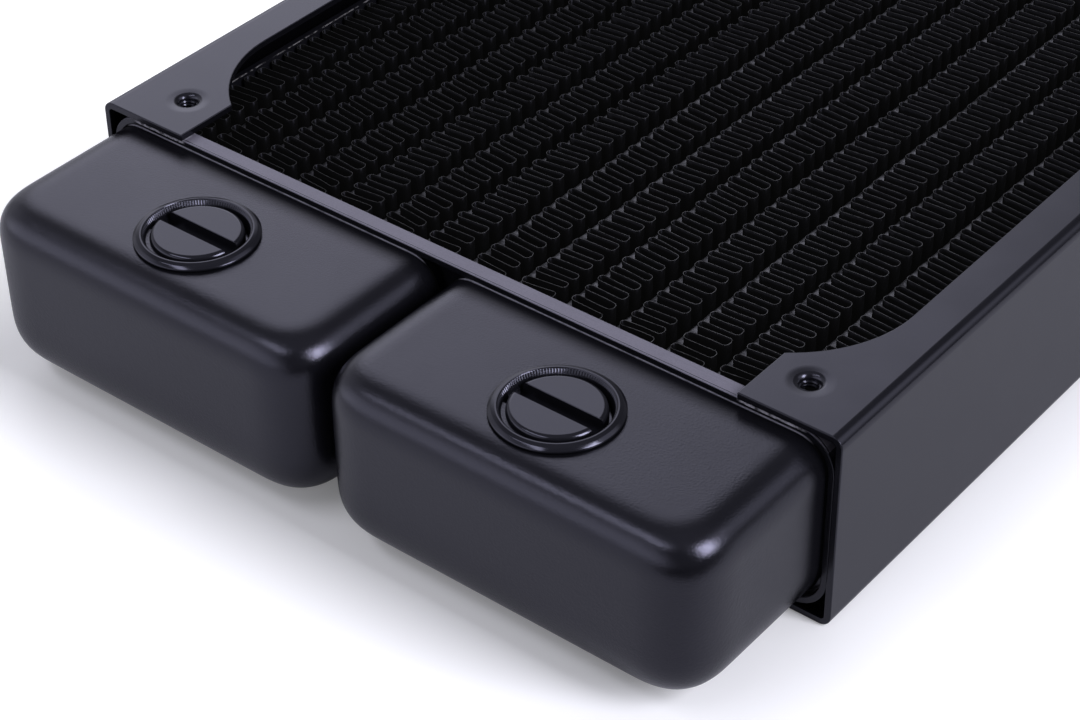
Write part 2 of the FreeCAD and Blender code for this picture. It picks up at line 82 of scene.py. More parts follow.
class Nodes:
    """Builds one material's node tree around a Principled shader."""

    def __init__(self, name):
        self.material = bpy.data.materials.new(name)
        self.material.use_nodes = True
        self.tree = self.material.node_tree
        self.shader = self.tree.nodes["Principled BSDF"]
        self.place = self.add("ShaderNodeTexCoord").outputs["Object"]

    def add(self, kind, **settings):
        node = self.tree.nodes.new(kind)
        for name, value in settings.items():
            setattr(node, name, value)
        return node

    def link(self, source, target):
        self.tree.links.new(source, target)

    def set(self, **values):
        for name, value in values.items():
            self.shader.inputs[name.replace("_", " ")].default_value = value

    def feed(self, value, name):
        """Link a value to one of the shader's inputs."""
        self.link(value, self.shader.inputs[name])

    def present(self, name):
        """What feeds one of the shader's inputs so far."""
        return self.shader.inputs[name].links[0].from_socket

    def axis(self, name):
        """One of the object coordinates: X, Y or Z."""
        parts = self.add("ShaderNodeSeparateXYZ")
        self.link(self.place, parts.inputs[0])
        return parts.outputs[name]

    def facing_up(self, low, high):
        """A mask over how far the true normal rises: 0 up to low and 1 from high."""
        parts = self.add("ShaderNodeSeparateXYZ")
        self.link(self.add("ShaderNodeNewGeometry").outputs["True Normal"], parts.inputs[0])
        return self.ramp(parts.outputs["Z"], 0.0, 1.0, low, high)

    def stretched(self, scale):
        """The object coordinates scaled by a factor for each axis."""
        mapping = self.add("ShaderNodeMapping")
        mapping.inputs["Scale"].default_value = scale
        self.link(self.place, mapping.inputs["Vector"])
        return mapping.outputs["Vector"]

    def noise(self, size, detail=2.0, roughness=0.5, vector=None):
        """Noise between 0 and 1 whose features are about this size."""
        node = self.add("ShaderNodeTexNoise")
        self.link(vector or self.place, node.inputs["Vector"])
        node.inputs["Scale"].default_value = 1.0 / size
        node.inputs["Detail"].default_value = detail
        node.inputs["Roughness"].default_value = roughness
        return node.outputs["Fac"]

    def ramp(self, value, low, high, from_low=0.3, from_high=0.7):
        """A value mapped smoothly onto low..high."""
        node = self.add("ShaderNodeMapRange", interpolation_type="SMOOTHSTEP")
        self.link(value, node.inputs["Value"])
        node.inputs["From Min"].default_value = from_low
        node.inputs["From Max"].default_value = from_high
        node.inputs["To Min"].default_value = low
        node.inputs["To Max"].default_value = high
        return node.outputs["Result"]

    def math(self, operation, first, second=0.0):
        node = self.add("ShaderNodeMath", operation=operation)
        for socket, value in zip(node.inputs, (first, second)):
            if isinstance(value, (int, float)):
                socket.default_value = value
            else:
                self.link(value, socket)
        return node.outputs["Value"]

    def product(self, first, *others):
        for other in others:
            first = self.math("MULTIPLY", first, other)
        return first

    def mix_colour(self, factor, first, second):
        node = self.add("ShaderNodeMix", data_type="RGBA")
        self.link(factor, node.inputs["Factor"])
        for name, value in (("A", first), ("B", second)):
            socket = [item for item in node.inputs if item.name == name and item.type == "RGBA"][0]
            if isinstance(value, tuple):
                socket.default_value = (*value, 1.0)
            else:
                self.link(value, socket)
        return [item for item in node.outputs if item.type == "RGBA"][0]

    def recolour(self, amount, colour):
        """Lay a colour over the present one, by an amount from 0 to 1."""
        self.feed(self.mix_colour(amount, self.present("Base Color"), colour), "Base Color")

    def roughen(self, amount, most):
        """Add to the roughness, by an amount from 0 to 1 of the most."""
        extra = self.math("MULTIPLY", amount, most)
        self.feed(self.math("ADD", self.present("Roughness"), extra), "Roughness")

    def bump(self, height, depth, normal=None):
        """A bump whose full height is depth metres."""
        node = self.add("ShaderNodeBump")
        node.inputs["Strength"].default_value = 1.0
        node.inputs["Distance"].default_value = depth
        self.link(height, node.inputs["Height"])
        if normal is not None:
            self.link(normal, node.inputs["Normal"])
        return node.outputs["Normal"]


def satin_paint(name, colour, roughness, peel=0.3 * MM, peel_depth=0.0015 * MM):
    """Satin black paint with a fine orange peel, a finer grain and uneven gloss."""
    nodes = Nodes(name)
    fine = nodes.noise(0.07 * MM, detail=3.0)
    coarse = nodes.noise(peel, detail=2.0)
    cloudy = nodes.noise(9.0 * MM, detail=3.0)
    normal = nodes.bump(coarse, peel_depth)
    normal = nodes.bump(fine, peel_depth * 0.4, normal)
    nodes.feed(normal, "Normal")
    nodes.feed(nodes.ramp(cloudy, roughness - 0.02, roughness + 0.03), "Roughness")
    lighter = tuple(channel * 1.25 for channel in colour)
    nodes.feed(nodes.mix_colour(cloudy, colour, lighter), "Base Color")
    nodes.set(IOR=1.5, Specular_Tint=(0.83, 0.83, 1.0, 1.0))
    return nodes


def wear_and_highlight_upward_faces(nodes, low, high, colour, patch, roughness=0.5, least=0.25, left=1.0, far=1.0):
    """Show lighter, patchy metal where the surface faces up: worn thin edges, and a painted highlight
    where light falls on tops. It may be weaker on the left side of the radiator, as painted shade, and
    towards its far end."""
    patches = nodes.ramp(nodes.noise(patch, detail=4.0, roughness=0.7), least, 1.0, 0.3, 0.6)
    # Painted shade: less of the lighter tops on the left side.
    left_shade = nodes.ramp(nodes.axis("X"), left, 1.0, -50 * MM, 25 * MM)
    lengthways = nodes.ramp(nodes.axis("Y"), 1.0, far, -40 * MM, 20 * MM)
    amount = nodes.product(nodes.facing_up(low, high), patches, nodes.product(left_shade, lengthways))
    nodes.recolour(amount, colour)
    nodes.roughen(amount, roughness)


def shade_below(nodes, height, depth):
    """Painted shade: the paint turns black and dull below a height, over this depth."""
    above = nodes.ramp(nodes.axis("Z"), 0.0, 1.0, height - depth, height)
    nodes.feed(nodes.mix_colour(above, (0.003, 0.003, 0.003), nodes.present("Base Color")), "Base Color")
    nodes.feed(nodes.product(above, 0.5), "Specular IOR Level")


def from_core_middle(nodes):
    """How far a point lies from the middle of the core along Y, either way."""
    return nodes.math("ABSOLUTE", nodes.math("SUBTRACT", nodes.axis("Y"), HOLE_MIDDLE_Y))


def highlight_pan_rim(nodes, colour):
    """A painted highlight on the upward rim of a header pan: pale with a fine grain to the edge, but for
    a fine dark line just inside it.
    """
    inside = nodes.math("SUBTRACT", PAN_REACH, from_core_middle(nodes))
    strip = nodes.ramp(inside, 0.0, 1.0, 0.36 * MM, 0.44 * MM)
    edge = nodes.ramp(inside, 1.0, 0.0, 0.22 * MM, 0.28 * MM)
    grain = nodes.ramp(nodes.noise(0.2 * MM, detail=4.0, roughness=0.7), 0.8, 1.0, 0.3, 0.6)
    streaks = nodes.noise(1.0, vector=nodes.stretched((250.0, 6000.0, 250.0)))
    grain = nodes.product(grain, nodes.ramp(streaks, 0.88, 1.0))
    pale = nodes.product(nodes.facing_up(0.5, 0.8), nodes.math("MAXIMUM", strip, edge), grain)
    nodes.recolour(pale, colour)
    nodes.roughen(pale, 0.2)


def light_under_tabs(nodes):
    """A pale patchy line on each pan's outer face, just under the screw tabs: painted light where the
    tabs' shade falls.
    """
    low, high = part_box("header_plate_front")
    below_top = nodes.math("SUBTRACT", high.z, nodes.axis("Z"))
    line = nodes.ramp(below_top, 1.0, 0.0, 0.5 * MM, 0.58 * MM)
    outwards = nodes.math("ABSOLUTE", nodes.axis("X"))
    under_tab = nodes.ramp(outwards, 0.0, 1.0, FRAME_LOW.x - 0.3 * MM, FRAME_LOW.x + 0.3 * MM)
    straight = nodes.ramp(outwards, 1.0, 0.0, high.x - 6.0 * MM, high.x - 4.0 * MM)
    patches = nodes.ramp(nodes.noise(0.7 * MM, detail=4.0, roughness=0.7), 0.1, 1.0, 0.38, 0.58)
    nodes.recolour(nodes.product(line, under_tab, straight, patches), (0.4, 0.39, 0.42))


def shade_by_headers(nodes):
    """Painted shade: the paint loses its gloss, and so looks dark, in the corner that a tank makes with
    its header pan.
    """
    clear = nodes.math("SUBTRACT", from_core_middle(nodes), PAN_REACH)
    nodes.feed(nodes.ramp(clear, 0.03, 0.5, 0.9 * MM, 4.3 * MM), "Specular IOR Level")


def line_plate_edge(nodes):
    """A thin pale line along the inner top edge of each side plate."""
    low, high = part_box("core_side_plate_right")
    across = nodes.math("SUBTRACT", nodes.math("ABSOLUTE", nodes.axis("X")), low.x)
    line = nodes.ramp(across, 1.0, 0.0, 0.08 * MM, 0.2 * MM)
    top = nodes.ramp(nodes.axis("Z"), 0.0, 1.0, high.z - 0.1 * MM, high.z - 0.05 * MM)
    broken = nodes.ramp(nodes.noise(0.8 * MM, detail=3.0), 0.0, 1.0, 0.4, 0.6)
    nodes.recolour(nodes.product(line, top, broken), (0.16, 0.155, 0.15))


def dimple_screw_holes(nodes):
    """The sheet round each screw hole is pressed in a little."""
    x = nodes.math("SUBTRACT", nodes.math("ABSOLUTE", nodes.axis("X")), HOLE_X)
    y = nodes.math("SUBTRACT", from_core_middle(nodes), HOLE_X)
    squares = nodes.math("ADD", nodes.product(x, x), nodes.product(y, y))
    height = nodes.ramp(nodes.math("SQRT", squares), 0.0, 1.0, 1.2 * MM, 3.3 * MM)
    nodes.feed(nodes.bump(height, 0.16 * MM, nodes.present("Normal")), "Normal")


# The faint light that many bounces leave between the fins.
CORE_HAZE = 0.0016


def make_materials():
    black = (0.0035, 0.0035, 0.0044)
    tank = satin_paint("tank_paint", black, 0.18, peel_depth=0.03 * MM)
    # Painted shade on the tanks where they meet the header pans.
    shade_by_headers(tank)
    side = satin_paint("frame_paint", black, 0.2)
    dimple_screw_holes(side)
    header = satin_paint("header_paint", black, 0.24, peel=0.2 * MM)
    # Painted highlight on the header pans' rims.
    highlight_pan_rim(header, (0.137, 0.130, 0.153))
    light_under_tabs(header)
    plate = satin_paint("side_plate_paint", black, 0.35)
    line_plate_edge(plate)
    fins = satin_paint("fin_paint", (0.0012, 0.0012, 0.0013), 0.25, peel=0.5 * MM)
    fins.set(Specular_IOR_Level=0.045)
    fins.set(Emission_Color=(1.0, 1.0, 1.0, 1.0), Emission_Strength=CORE_HAZE)
    # Fin edges: partly worn metal, partly a painted highlight; painted shade weakens it on the left, and
    # it fades towards the far end.
    wear_and_highlight_upward_faces(fins, 0.5, 0.8, (0.085, 0.085, 0.083), 1.1 * MM, left=0.36, far=0.7)
    tubes = satin_paint("tube_paint", (0.002, 0.002, 0.0024), 0.33, peel=0.5 * MM, peel_depth=0.01 * MM)
    tubes.set(Specular_IOR_Level=0.2)
    tubes.set(Emission_Color=(1.0, 1.0, 1.0, 1.0), Emission_Strength=CORE_HAZE)
    # Tube crests: a painted highlight in patches, weakened by painted shade on the left.
    wear_and_highlight_upward_faces(tubes, 0.6, 0.95, (0.13, 0.13, 0.133), 1.2 * MM, least=0.05, left=0.3)
    solder = satin_paint("solder_bead", black, 0.2)
    # The bead's upward side: a painted highlight.
    wear_and_highlight_upward_faces(solder, 0.2, 0.7, (0.16, 0.155, 0.17), 1.5 * MM, roughness=0.2, least=0.35)
    # Painted shade on the bead below the tanks' top, so its painted highlight shows only along the top.
    shade_below(solder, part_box("tank_outlet")[1].z, 0.7 * MM)
    plug = satin_paint("plug_black", (0.004, 0.004, 0.005), 0.14)
    brass = satin_paint("boss_brass", (0.55, 0.38, 0.16), 0.35)
    brass.set(Metallic=1.0)
    rubber = satin_paint("seal_rubber", (0.012, 0.012, 0.012), 0.55)
    return {
        "tank_paint": tank.material,
        "frame_paint": side.material,
        "header_paint": header.material,
        "side_plate_paint": plate.material,
        "fin_paint": fins.material,
        "tube_paint": tubes.material,
        "solder_bead": solder.material,
        "plug_black": plug.material,
        "boss_brass": brass.material,
        "seal_rubber": rubber.material,
    }


MATERIALS = make_materials()


def paint(piece, slot):
    """Give a piece, CAD node or not, one of the materials."""
    piece.data.materials.clear()
    piece.data.materials.append(MATERIALS[slot])


def paint_cad_nodes():
    for part in frame["record"]["subparts"]:
        paint(NODES[part["node"]], part["material_slot"])


# ---------------------------------------------------------------------------------------------
# Mesh helpers
# ---------------------------------------------------------------------------------------------

def new_piece(name, vertices, faces, slot, body=BODY):
    """A smooth-shaded mesh piece that rides on a body."""
    mesh = bpy.data.meshes.new(name)
    mesh.from_pydata(vertices, [], faces)
    mesh.validate()
    mesh.polygons.foreach_set("use_smooth", [True] * len(mesh.polygons))
    piece = bpy.data.objects.new(name, mesh)
    bpy.context.scene.collection.objects.link(piece)
    paint(piece, slot)
    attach(piece, body)
    return piece


def even_shading(piece):
    """Shade flat faces flat and leave the small rounds between them smooth."""
    modifier = piece.modifiers.new("even_shading", "WEIGHTED_NORMAL")
    modifier.keep_sharp = True


def soften_edges(node):
    """Round the sharp edges of a CAD node slightly, as paint does on sheet."""
    piece = NODES[node]
    weld = piece.modifiers.new("weld", "WELD")
    weld.merge_threshold = 1e-6
    bevel = piece.modifiers.new("soft_edges", "BEVEL")
    bevel.width = 0.16 * MM
    bevel.segments = 3
    bevel.use_clamp_overlap = False
    bevel.limit_method = "ANGLE"
    bevel.angle_limit = math.radians(40)
    even_shading(piece)


def loop_quads(first, second):
    """Faces between two closed loops of equal length. A loop may be one repeated point."""
    faces = []
    for place in range(len(first)):
        after = (place + 1) % len(first)
        corners = (first[place], first[after], second[after], second[place])
        faces.append(tuple(dict.fromkeys(corners)))
    return faces


def joined_rings(rings):
    faces = []
    for lower, upper in zip(rings, rings[1:]):
        faces.extend(loop_quads(lower, upper))
    return faces


def turned_rings(rows, centre):
    """Vertices and rings of a turned shape. Each row goes once round the upright axis through the
    centre, as even (radius, height) steps, and a row of radius 0 becomes a pole."""
    vertices = []
    rings = []
    for row in rows:
        count = len(row)
        if row[0][0] == 0.0:
            rings.append([len(vertices)] * count)
            vertices.append(centre + Vector((0, 0, row[0][1])))
            continue
        rings.append(list(range(len(vertices), len(vertices) + count)))
        for segment, (radius, height) in enumerate(row):
            angle = 2 * math.pi * segment / count
            across = Vector((radius * math.cos(angle), radius * math.sin(angle), height))
            vertices.append(centre + across)
    return vertices, rings


# ---------------------------------------------------------------------------------------------
# Fin strips
# ---------------------------------------------------------------------------------------------

FIN_SHEET = 0.08 * MM
FIN_LEGS = 83
FIN_LEVELS = (0.0, 0.12, 0.4, 0.7, 0.9, 1.0)
LEG_STEPS = 5
TURN_STEPS = 7


def leg_places(rng, low, high):
    """Where each leg meets its left and its right turn. The loops closed on the right are wider
    than those closed on the left, and no two are quite alike."""
    gaps = []
    drift = rng.uniform(0, 100)
    for leg in range(FIN_LEGS - 1):
        closed_right = leg % 2 == 0
        width = 1.13 if closed_right else 0.87
        width += 0.14 * noise.noise(Vector((drift, leg * 0.21, 0))) + rng.gauss(0, 0.05)
        gaps.append(max(width, 0.6))
    scale = (high - low) / sum(gaps)
    middles = [low]
    for gap in gaps:
        middles.append(middles[-1] + gap * scale)
    slant = rng.uniform(-0.22, 0.22) * MM
    places = []
    for leg, middle in enumerate(middles):
        wander = 0.18 * MM * noise.noise(Vector((drift + 7, leg * 0.15, 3)))
        pinch = 0.07 * MM if leg % 2 == 0 else -0.07 * MM
        tilt = slant + wander + rng.gauss(0, 0.045) * MM
        places.append((middle - tilt + pinch, middle + tilt))
    return places


def fold_line(rng, places, half_width):
    """The strip's centre line seen from above, as points from end to end."""
    points = []
    turn = 0.62 * MM
    for leg, (left_y, right_y) in enumerate(places):
        side = 1 if leg % 2 == 0 else -1
        start_y, end_y = (left_y, right_y) if side > 0 else (right_y, left_y)
        bow = rng.gauss(0, 0.05) * MM
        for step in range(LEG_STEPS):
            t = step / (LEG_STEPS - 1)
            x = -side * (half_width - turn) * (1 - 2 * t)
            points.append(Vector((x, start_y + (end_y - start_y) * t + bow * math.sin(math.pi * t))))
        if leg == len(places) - 1:
            break
        next_y = places[leg + 1][1] if side > 0 else places[leg + 1][0]
        middle = (end_y + next_y) / 2
        half = (next_y - end_y) / 2
        bulge = turn * rng.uniform(0.94, 1.0)
        for step in range(1, TURN_STEPS):
            angle = -math.pi / 2 + math.pi * step / TURN_STEPS
            x = side * (half_width - turn + bulge * math.cos(angle) ** 0.85)
            points.append(Vector((x, middle + half * math.sin(angle))))
    return points


def side_steps(points):
    """For each point of a line, the unit vector square to it."""
    normals = []
    for index in range(len(points)):
        before = points[max(index - 1, 0)]
        after = points[min(index + 1, len(points) - 1)]
        along = (after - before).normalized()
        normals.append(Vector((-along.y, along.x)))
    return normals


def strip_faces(rings, crests):
    """The two sides and two ends of a strip from level to level, and its painted-over edges. A
    ring holds a pair of points, one on each side, for each place along the strip."""
    count = len(crests[0])
    faces = []
    for lower, upper in zip(rings, rings[1:]):
        for place in range(count - 1):
            a, b = 2 * place, 2 * place + 2
            faces.append((lower[b], lower[a], upper[a], upper[b]))
            faces.append((lower[a + 1], lower[b + 1], upper[b + 1], upper[a + 1]))
        faces.append((lower[0], lower[1], upper[1], upper[0]))
        last = 2 * count - 2
        faces.append((lower[last + 1], lower[last], upper[last], upper[last + 1]))
    for ring, crest, upwards in ((rings[0], crests[0], False), (rings[-1], crests[1], True)):
        for place in range(count - 1):
            a, b = 2 * place, 2 * place + 2
            pair = [
                (ring[a], crest[place], crest[place + 1], ring[b]),
                (crest[place], ring[a + 1], ring[b + 1], crest[place + 1]),
            ]
            faces.extend(pair if upwards else [face[::-1] for face in pair])
        for place in (0, count - 1):
            triangle = (ring[2 * place], ring[2 * place + 1], crest[place])
            faces.append(triangle if (place == 0) == upwards else triangle[::-1])
    return faces


def make_fin_strip(index):
    """A thin folded strip. Its folds wander, lean and bow a little from bottom to top, and its
    edges are rounded over by the paint."""
    node = f"fin_strip_{index:02d}"
    low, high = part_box(node)
    rng = random.Random(4100 + index)
    centre = (low.x + high.x) / 2 + rng.uniform(-0.08, 0.08) * MM
    half_width = (high.x - low.x) / 2 - FIN_SHEET / 2 - 0.05 * MM
    sink = rng.uniform(0.0, 0.45) * MM
    places = leg_places(rng, low.y + 0.3 * MM, high.y - 0.3 * MM)
    line = fold_line(rng, places, half_width)
    normals = side_steps(line)
    count = len(line)
    vertices = []
    rings = []
    lean = rng.uniform(-0.15, 0.15) * MM
    for share in FIN_LEVELS:
        z = low.z + sink + (high.z - low.z - 2 * sink) * share
        level_seed = share * 2.0
        ring = []
        for index_along, (point, normal) in enumerate(zip(line, normals)):
            wave = noise.noise(Vector((index_along * 0.045, level_seed, index * 9.0)))
            shift = lean * (share - 0.5) + 0.22 * MM * wave * (0.4 + share)
            for face in (-1, 1):
                offset = normal * (face * FIN_SHEET / 2)
                ring.append(len(vertices))
                vertices.append((centre + point.x + offset.x, point.y + shift + offset.y, z))
        rings.append(ring)
    crests = []
    for ring, rise in ((rings[0], -0.3), (rings[-1], 0.3)):
        crest = []
        for place in range(count):
            first = Vector(vertices[ring[2 * place]])
            second = Vector(vertices[ring[2 * place + 1]])
            crest.append(len(vertices))
            middle = (first + second) / 2
            vertices.append((middle.x, middle.y, middle.z + rise * FIN_SHEET))
        crests.append(crest)
    piece = new_piece(f"fin_row_{index:02d}", vertices, strip_faces(rings, crests), "fin_paint")
    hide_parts(node)


def make_fins():
    for index in range(1, 15):
        make_fin_strip(index)


# ---------------------------------------------------------------------------------------------
# Tubes
# ---------------------------------------------------------------------------------------------

TUBE_DEPTH = 2.35 * MM
DEEP_TUBE_DEPTH = 2.65 * MM
FIRST_DEEP_TUBE = 9
TUBE_STATIONS = 240
TUBE_ARC_STEPS = 8


def make_tube(node, crest, seed):
    """A flat tube with round, slightly uneven edges up to a crest height."""
    low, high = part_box(node)
    middle = (low.x + high.x) / 2
    half = (high.x - low.x) / 2 + 0.04 * MM
    bottom = low.z + high.z - crest
    vertices = []
    rings = []
    around = 2 * (TUBE_ARC_STEPS + 1)
    for station in range(TUBE_STATIONS + 1):
        y = low.y + (high.y - low.y) * station / TUBE_STATIONS
        sway = 0.12 * MM * noise.noise(Vector((station * 0.11, seed, 0)))
        rise = 0.14 * MM * noise.noise(Vector((station * 0.3, seed, 5)))
        rings.append(list(range(len(vertices), len(vertices) + around)))
        for centre_z, start in ((crest - half + rise, 0), (bottom + half, 180)):
            for step in range(TUBE_ARC_STEPS + 1):
                angle = math.radians(start + 180 * step / TUBE_ARC_STEPS)
                x = middle + sway + half * math.cos(angle)
                vertices.append((x, y, centre_z + half * math.sin(angle)))
    faces = joined_rings(rings)
    faces.append(tuple(rings[0]))
    faces.append(tuple(reversed(rings[-1])))
    piece = new_piece(f"flat_{node}", vertices, faces, "tube_paint")
    piece.data.set_sharp_from_angle(angle=math.radians(60))
    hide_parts(node)


def make_tubes():
    fin_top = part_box("fin_strip_01")[1].z
    for index in range(1, 13):
        depth = TUBE_DEPTH if index < FIRST_DEEP_TUBE else DEEP_TUBE_DEPTH
        make_tube(f"tube_{index:02d}", fin_top - depth, index * 3.0)
    make_tube("centre_spacer", fin_top - TUBE_DEPTH, 50.0)


# ---------------------------------------------------------------------------------------------
# Tanks
# ---------------------------------------------------------------------------------------------

TANK_WALL = 1.0 * MM
TANK_TOP_ROUND = 4.6 * MM
TANK_BOTTOM_ROUND = 6.6 * MM
TANK_CORNER_ROUND = 7.6 * MM
PORT_HOLE_RADIUS = 8.05 * MM
MOUTH_STEPS = 24
# Drawn sheet curves gradually: a round reaches further than a plain arc of its radius, on a
# superellipse that passes through the middle of that arc.
EASE_REACH = 1.3
EASE_POWER = 2.714
EASE_STEPS = 18


def eased_round(steps):
    """Points of a quarter round of unit reach, from (1, 0) to (0, 1)."""
    points = []
    for step in range(steps + 1):
        turn = math.radians(90 * step / steps)
        across = max(math.cos(turn), 0.0) ** (2 / EASE_POWER)
        along = math.sin(turn) ** (2 / EASE_POWER)
        points.append((across, along))
    return points


def tank_rings(low, high, closed_high, shrink):
    """Outlines of one skin of a tank from its bottom to its top face. Each runs from the mouth
    round the closed end and back to the mouth."""
    arc = eased_round(EASE_STEPS)
    levels = []
    reach = (TANK_BOTTOM_ROUND - shrink) * EASE_REACH
    for across, along in reversed(arc):
        levels.append((reach * (1 - across), low.z + shrink + reach * (1 - along)))
    reach = (TANK_TOP_ROUND - shrink) * EASE_REACH
    for across, along in arc:
        levels.append((reach * (1 - across), high.z - shrink - reach * (1 - along)))
    mouth = low.y if closed_high else high.y
    outwards = 1 if closed_high else -1
    closed = (high.y if closed_high else low.y) - outwards * shrink
    corner_reach = (TANK_CORNER_ROUND - shrink) * EASE_REACH
    rings = []
    for inset, height in levels:
        corner = corner_reach - inset
        left = low.x + shrink + inset
        right = high.x - shrink - inset
        centre_y = closed - outwards * (inset + corner)
        ring = [Vector((left, mouth, height))]
        for across, along in arc:
            y = centre_y + outwards * corner * along
            ring.append(Vector((left + corner * (1 - across), y, height)))
        for across, along in reversed(arc):
            y = centre_y + outwards * corner * along
            ring.append(Vector((right - corner * (1 - across), y, height)))
        ring.append(Vector((right, mouth, height)))
        rings.append(ring)
    return rings


def make_tank(node, closed_high=False, port=None):
    """A drawn tank, open towards its header pan, with a hole in its top where a port is given.
    The hole has a point towards each point of the outline, and is cut off straight where the
    outline has none. That is a known fault: the plug runs through the sheet there."""
    low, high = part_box(node)
    vertices = []
    faces = []

    def keep(points):
        start = len(vertices)
        vertices.extend(points)
        return list(range(start, len(vertices)))

    mouths = []
    holes = []
    for shrink in (0.0, TANK_WALL):
        rings = [keep(ring) for ring in tank_rings(low, high, closed_high, shrink)]
        for lower, upper in zip(rings, rings[1:]):
            faces.extend(loop_quads(lower, upper)[:-1])
        faces.append(tuple(rings[0]))
        top = rings[-1]
        edge = []
        if port is None:
            faces.append(tuple(top))
        else:
            first, last = vertices[top[-1]], vertices[top[0]]
            edge = keep([first.lerp(last, step / MOUTH_STEPS) for step in range(1, MOUTH_STEPS)])
            loop = top + edge
            centre = Vector((port.x, port.y, first.z))
            if not holes:
                spokes = [(vertices[place] - centre).normalized() for place in loop]
            holes.append(keep([centre + spoke * PORT_HOLE_RADIUS for spoke in spokes]))
            faces.extend(loop_quads(loop, holes[-1]))
        going = [ring[0] for ring in rings] + edge[::-1]
        mouths.append(going + [ring[-1] for ring in reversed(rings)])
    faces.extend(loop_quads(*mouths))
    if holes:
        faces.extend(loop_quads(*holes))
    piece = new_piece(f"drawn_{node}", vertices, faces, "tank_paint")
    shell = bmesh.new()
    shell.from_mesh(piece.data)
    bmesh.ops.recalc_face_normals(shell, faces=shell.faces)
    shell.to_mesh(piece.data)
    shell.free()
    piece.data.set_sharp_from_angle(angle=math.radians(40))
    even_shading(piece)
    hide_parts(node)


def make_tanks():
    for node, plug in (("tank_inlet", "port_plug_left"), ("tank_outlet", "port_plug_right")):
        low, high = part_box(plug)
        make_tank(node, port=(low + high) / 2)
    make_tank("tank_return", closed_high=True)


# ---------------------------------------------------------------------------------------------
# Port plugs
# ---------------------------------------------------------------------------------------------

PLUG_SEGMENTS = 720
RIBS = 120
THREAD_PITCH = 1.337 * MM
THREAD_CREST = 6.5 * MM
THREAD_ROOT = 5.75 * MM
THREAD_RUN_IN = 0.8 * MM
FLANK_SLOPE = 1.7
FLANK_OFFSET = 0.35
ROWS_PER_TURN = 12
HEAD_RADIUS = 7.95 * MM
RING_OUTSIDE = 8.5 * MM
RING_INSIDE = 7.32 * MM
DISC_RADIUS = 6.3 * MM
DISC_TOP = 0.85 * MM
SLOT_WIDTH = 2.2 * MM


def rounded_profile(corners, steps=5):
    """Replace each (radius, height, round) corner of an open profile by an arc."""
    points = []
    for index, (radius, height, rounding) in enumerate(corners):
        corner = Vector((radius, height))
        if rounding == 0:
            points.append(corner)
            continue
        before = (Vector(corners[index - 1][:2]) - corner).normalized()
        after = (Vector(corners[index + 1][:2]) - corner).normalized()
        opening = before.angle(after)
        reach = rounding / math.tan(opening / 2)
        centre = corner + (before + after).normalized() * (rounding / math.sin(opening / 2))
        start = corner + before * reach - centre
        end = corner + after * reach - centre
        for step in range(steps + 1):
            points.append(centre + start.slerp(end, step / steps).normalized() * rounding)
    return points


def thread_radius(height, angle):
    """The radius of a helical thread with flat crests and roots."""
    phase = (height / THREAD_PITCH - angle / (2 * math.pi)) % 1.0
    ramp = min(max(abs(2 * phase - 1) * FLANK_SLOPE - FLANK_OFFSET, 0.0), 1.0)
    return THREAD_ROOT + (THREAD_CREST - THREAD_ROOT) * ramp


def thread_rows(low, high):
    """Rows that carry the thread, which runs in from the root and out again at its ends."""
    count = round((high - low) / THREAD_PITCH * ROWS_PER_TURN)
    rows = []
    for step in range(count + 1):
        height = low + (high - low) * step / count
        run_in = min((height - low) / THREAD_RUN_IN, (high - height) / THREAD_RUN_IN, 1.0)
        row = []
        for segment in range(PLUG_SEGMENTS):
            angle = 2 * math.pi * segment / PLUG_SEGMENTS
            radius = THREAD_ROOT + (thread_radius(height, angle) - THREAD_ROOT) * run_in
            row.append((radius, height))
        rows.append(row)
    return rows


def ribbed_rows():
    """Rows down the ring's inside wall, a steep funnel that carries fine ribs."""
    rows = []
    funnel = ((7.3, 0.88, 0.0), (7.25, 0.83, 0.12), (6.78, -0.3, 0.12), (6.65, -1.1, 0.05))
    for radius, height, depth in funnel:
        row = []
        for segment in range(PLUG_SEGMENTS):
            rib = 0.5 - 0.5 * math.cos(2 * math.pi * RIBS * segment / PLUG_SEGMENTS)
            row.append(((radius - depth * rib) * MM, height * MM))
        rows.append(row)
    return rows


def half_disc(centre, side, bottom, top):
    """Half of the slotted disc: a D with a round shoulder and a fine bevel along the slot."""
    shoulder = 0.72 * MM
    bevel = 0.08 * MM
    arc_steps = 96
    chord_steps = 24
    levels = [(DISC_RADIUS, bottom, 0.0), (DISC_RADIUS, top - shoulder, 0.0)]
    for step in range(1, 10):
        turn = math.radians(10 * step)
        radius = DISC_RADIUS - shoulder * (1 - math.cos(turn))
        height = top - shoulder * (1 - math.sin(turn))
        levels.append((radius, height, max(0.0, height - (top - bevel))))
    vertices = []
    rings = []
    for radius, height, inset in levels:
        chord = SLOT_WIDTH / 2 + inset
        first = math.asin(chord / radius)
        outline = []
        for step in range(arc_steps + 1):
            angle = first + (math.pi - 2 * first) * step / arc_steps
            outline.append((radius * math.cos(angle), radius * math.sin(angle)))
        half_chord = radius * math.cos(first)
        for step in range(1, chord_steps):
            outline.append((-half_chord + 2 * half_chord * step / chord_steps, chord))
        if side < 0:
            outline = [(across, -along) for across, along in reversed(outline)]
        rings.append(list(range(len(vertices), len(vertices) + len(outline))))
        vertices.extend(centre + Vector((across, along, height)) for across, along in outline)
    faces = joined_rings(rings)
    faces.append(tuple(rings[-1]))
    faces.append(tuple(reversed(rings[0])))
    return vertices, faces


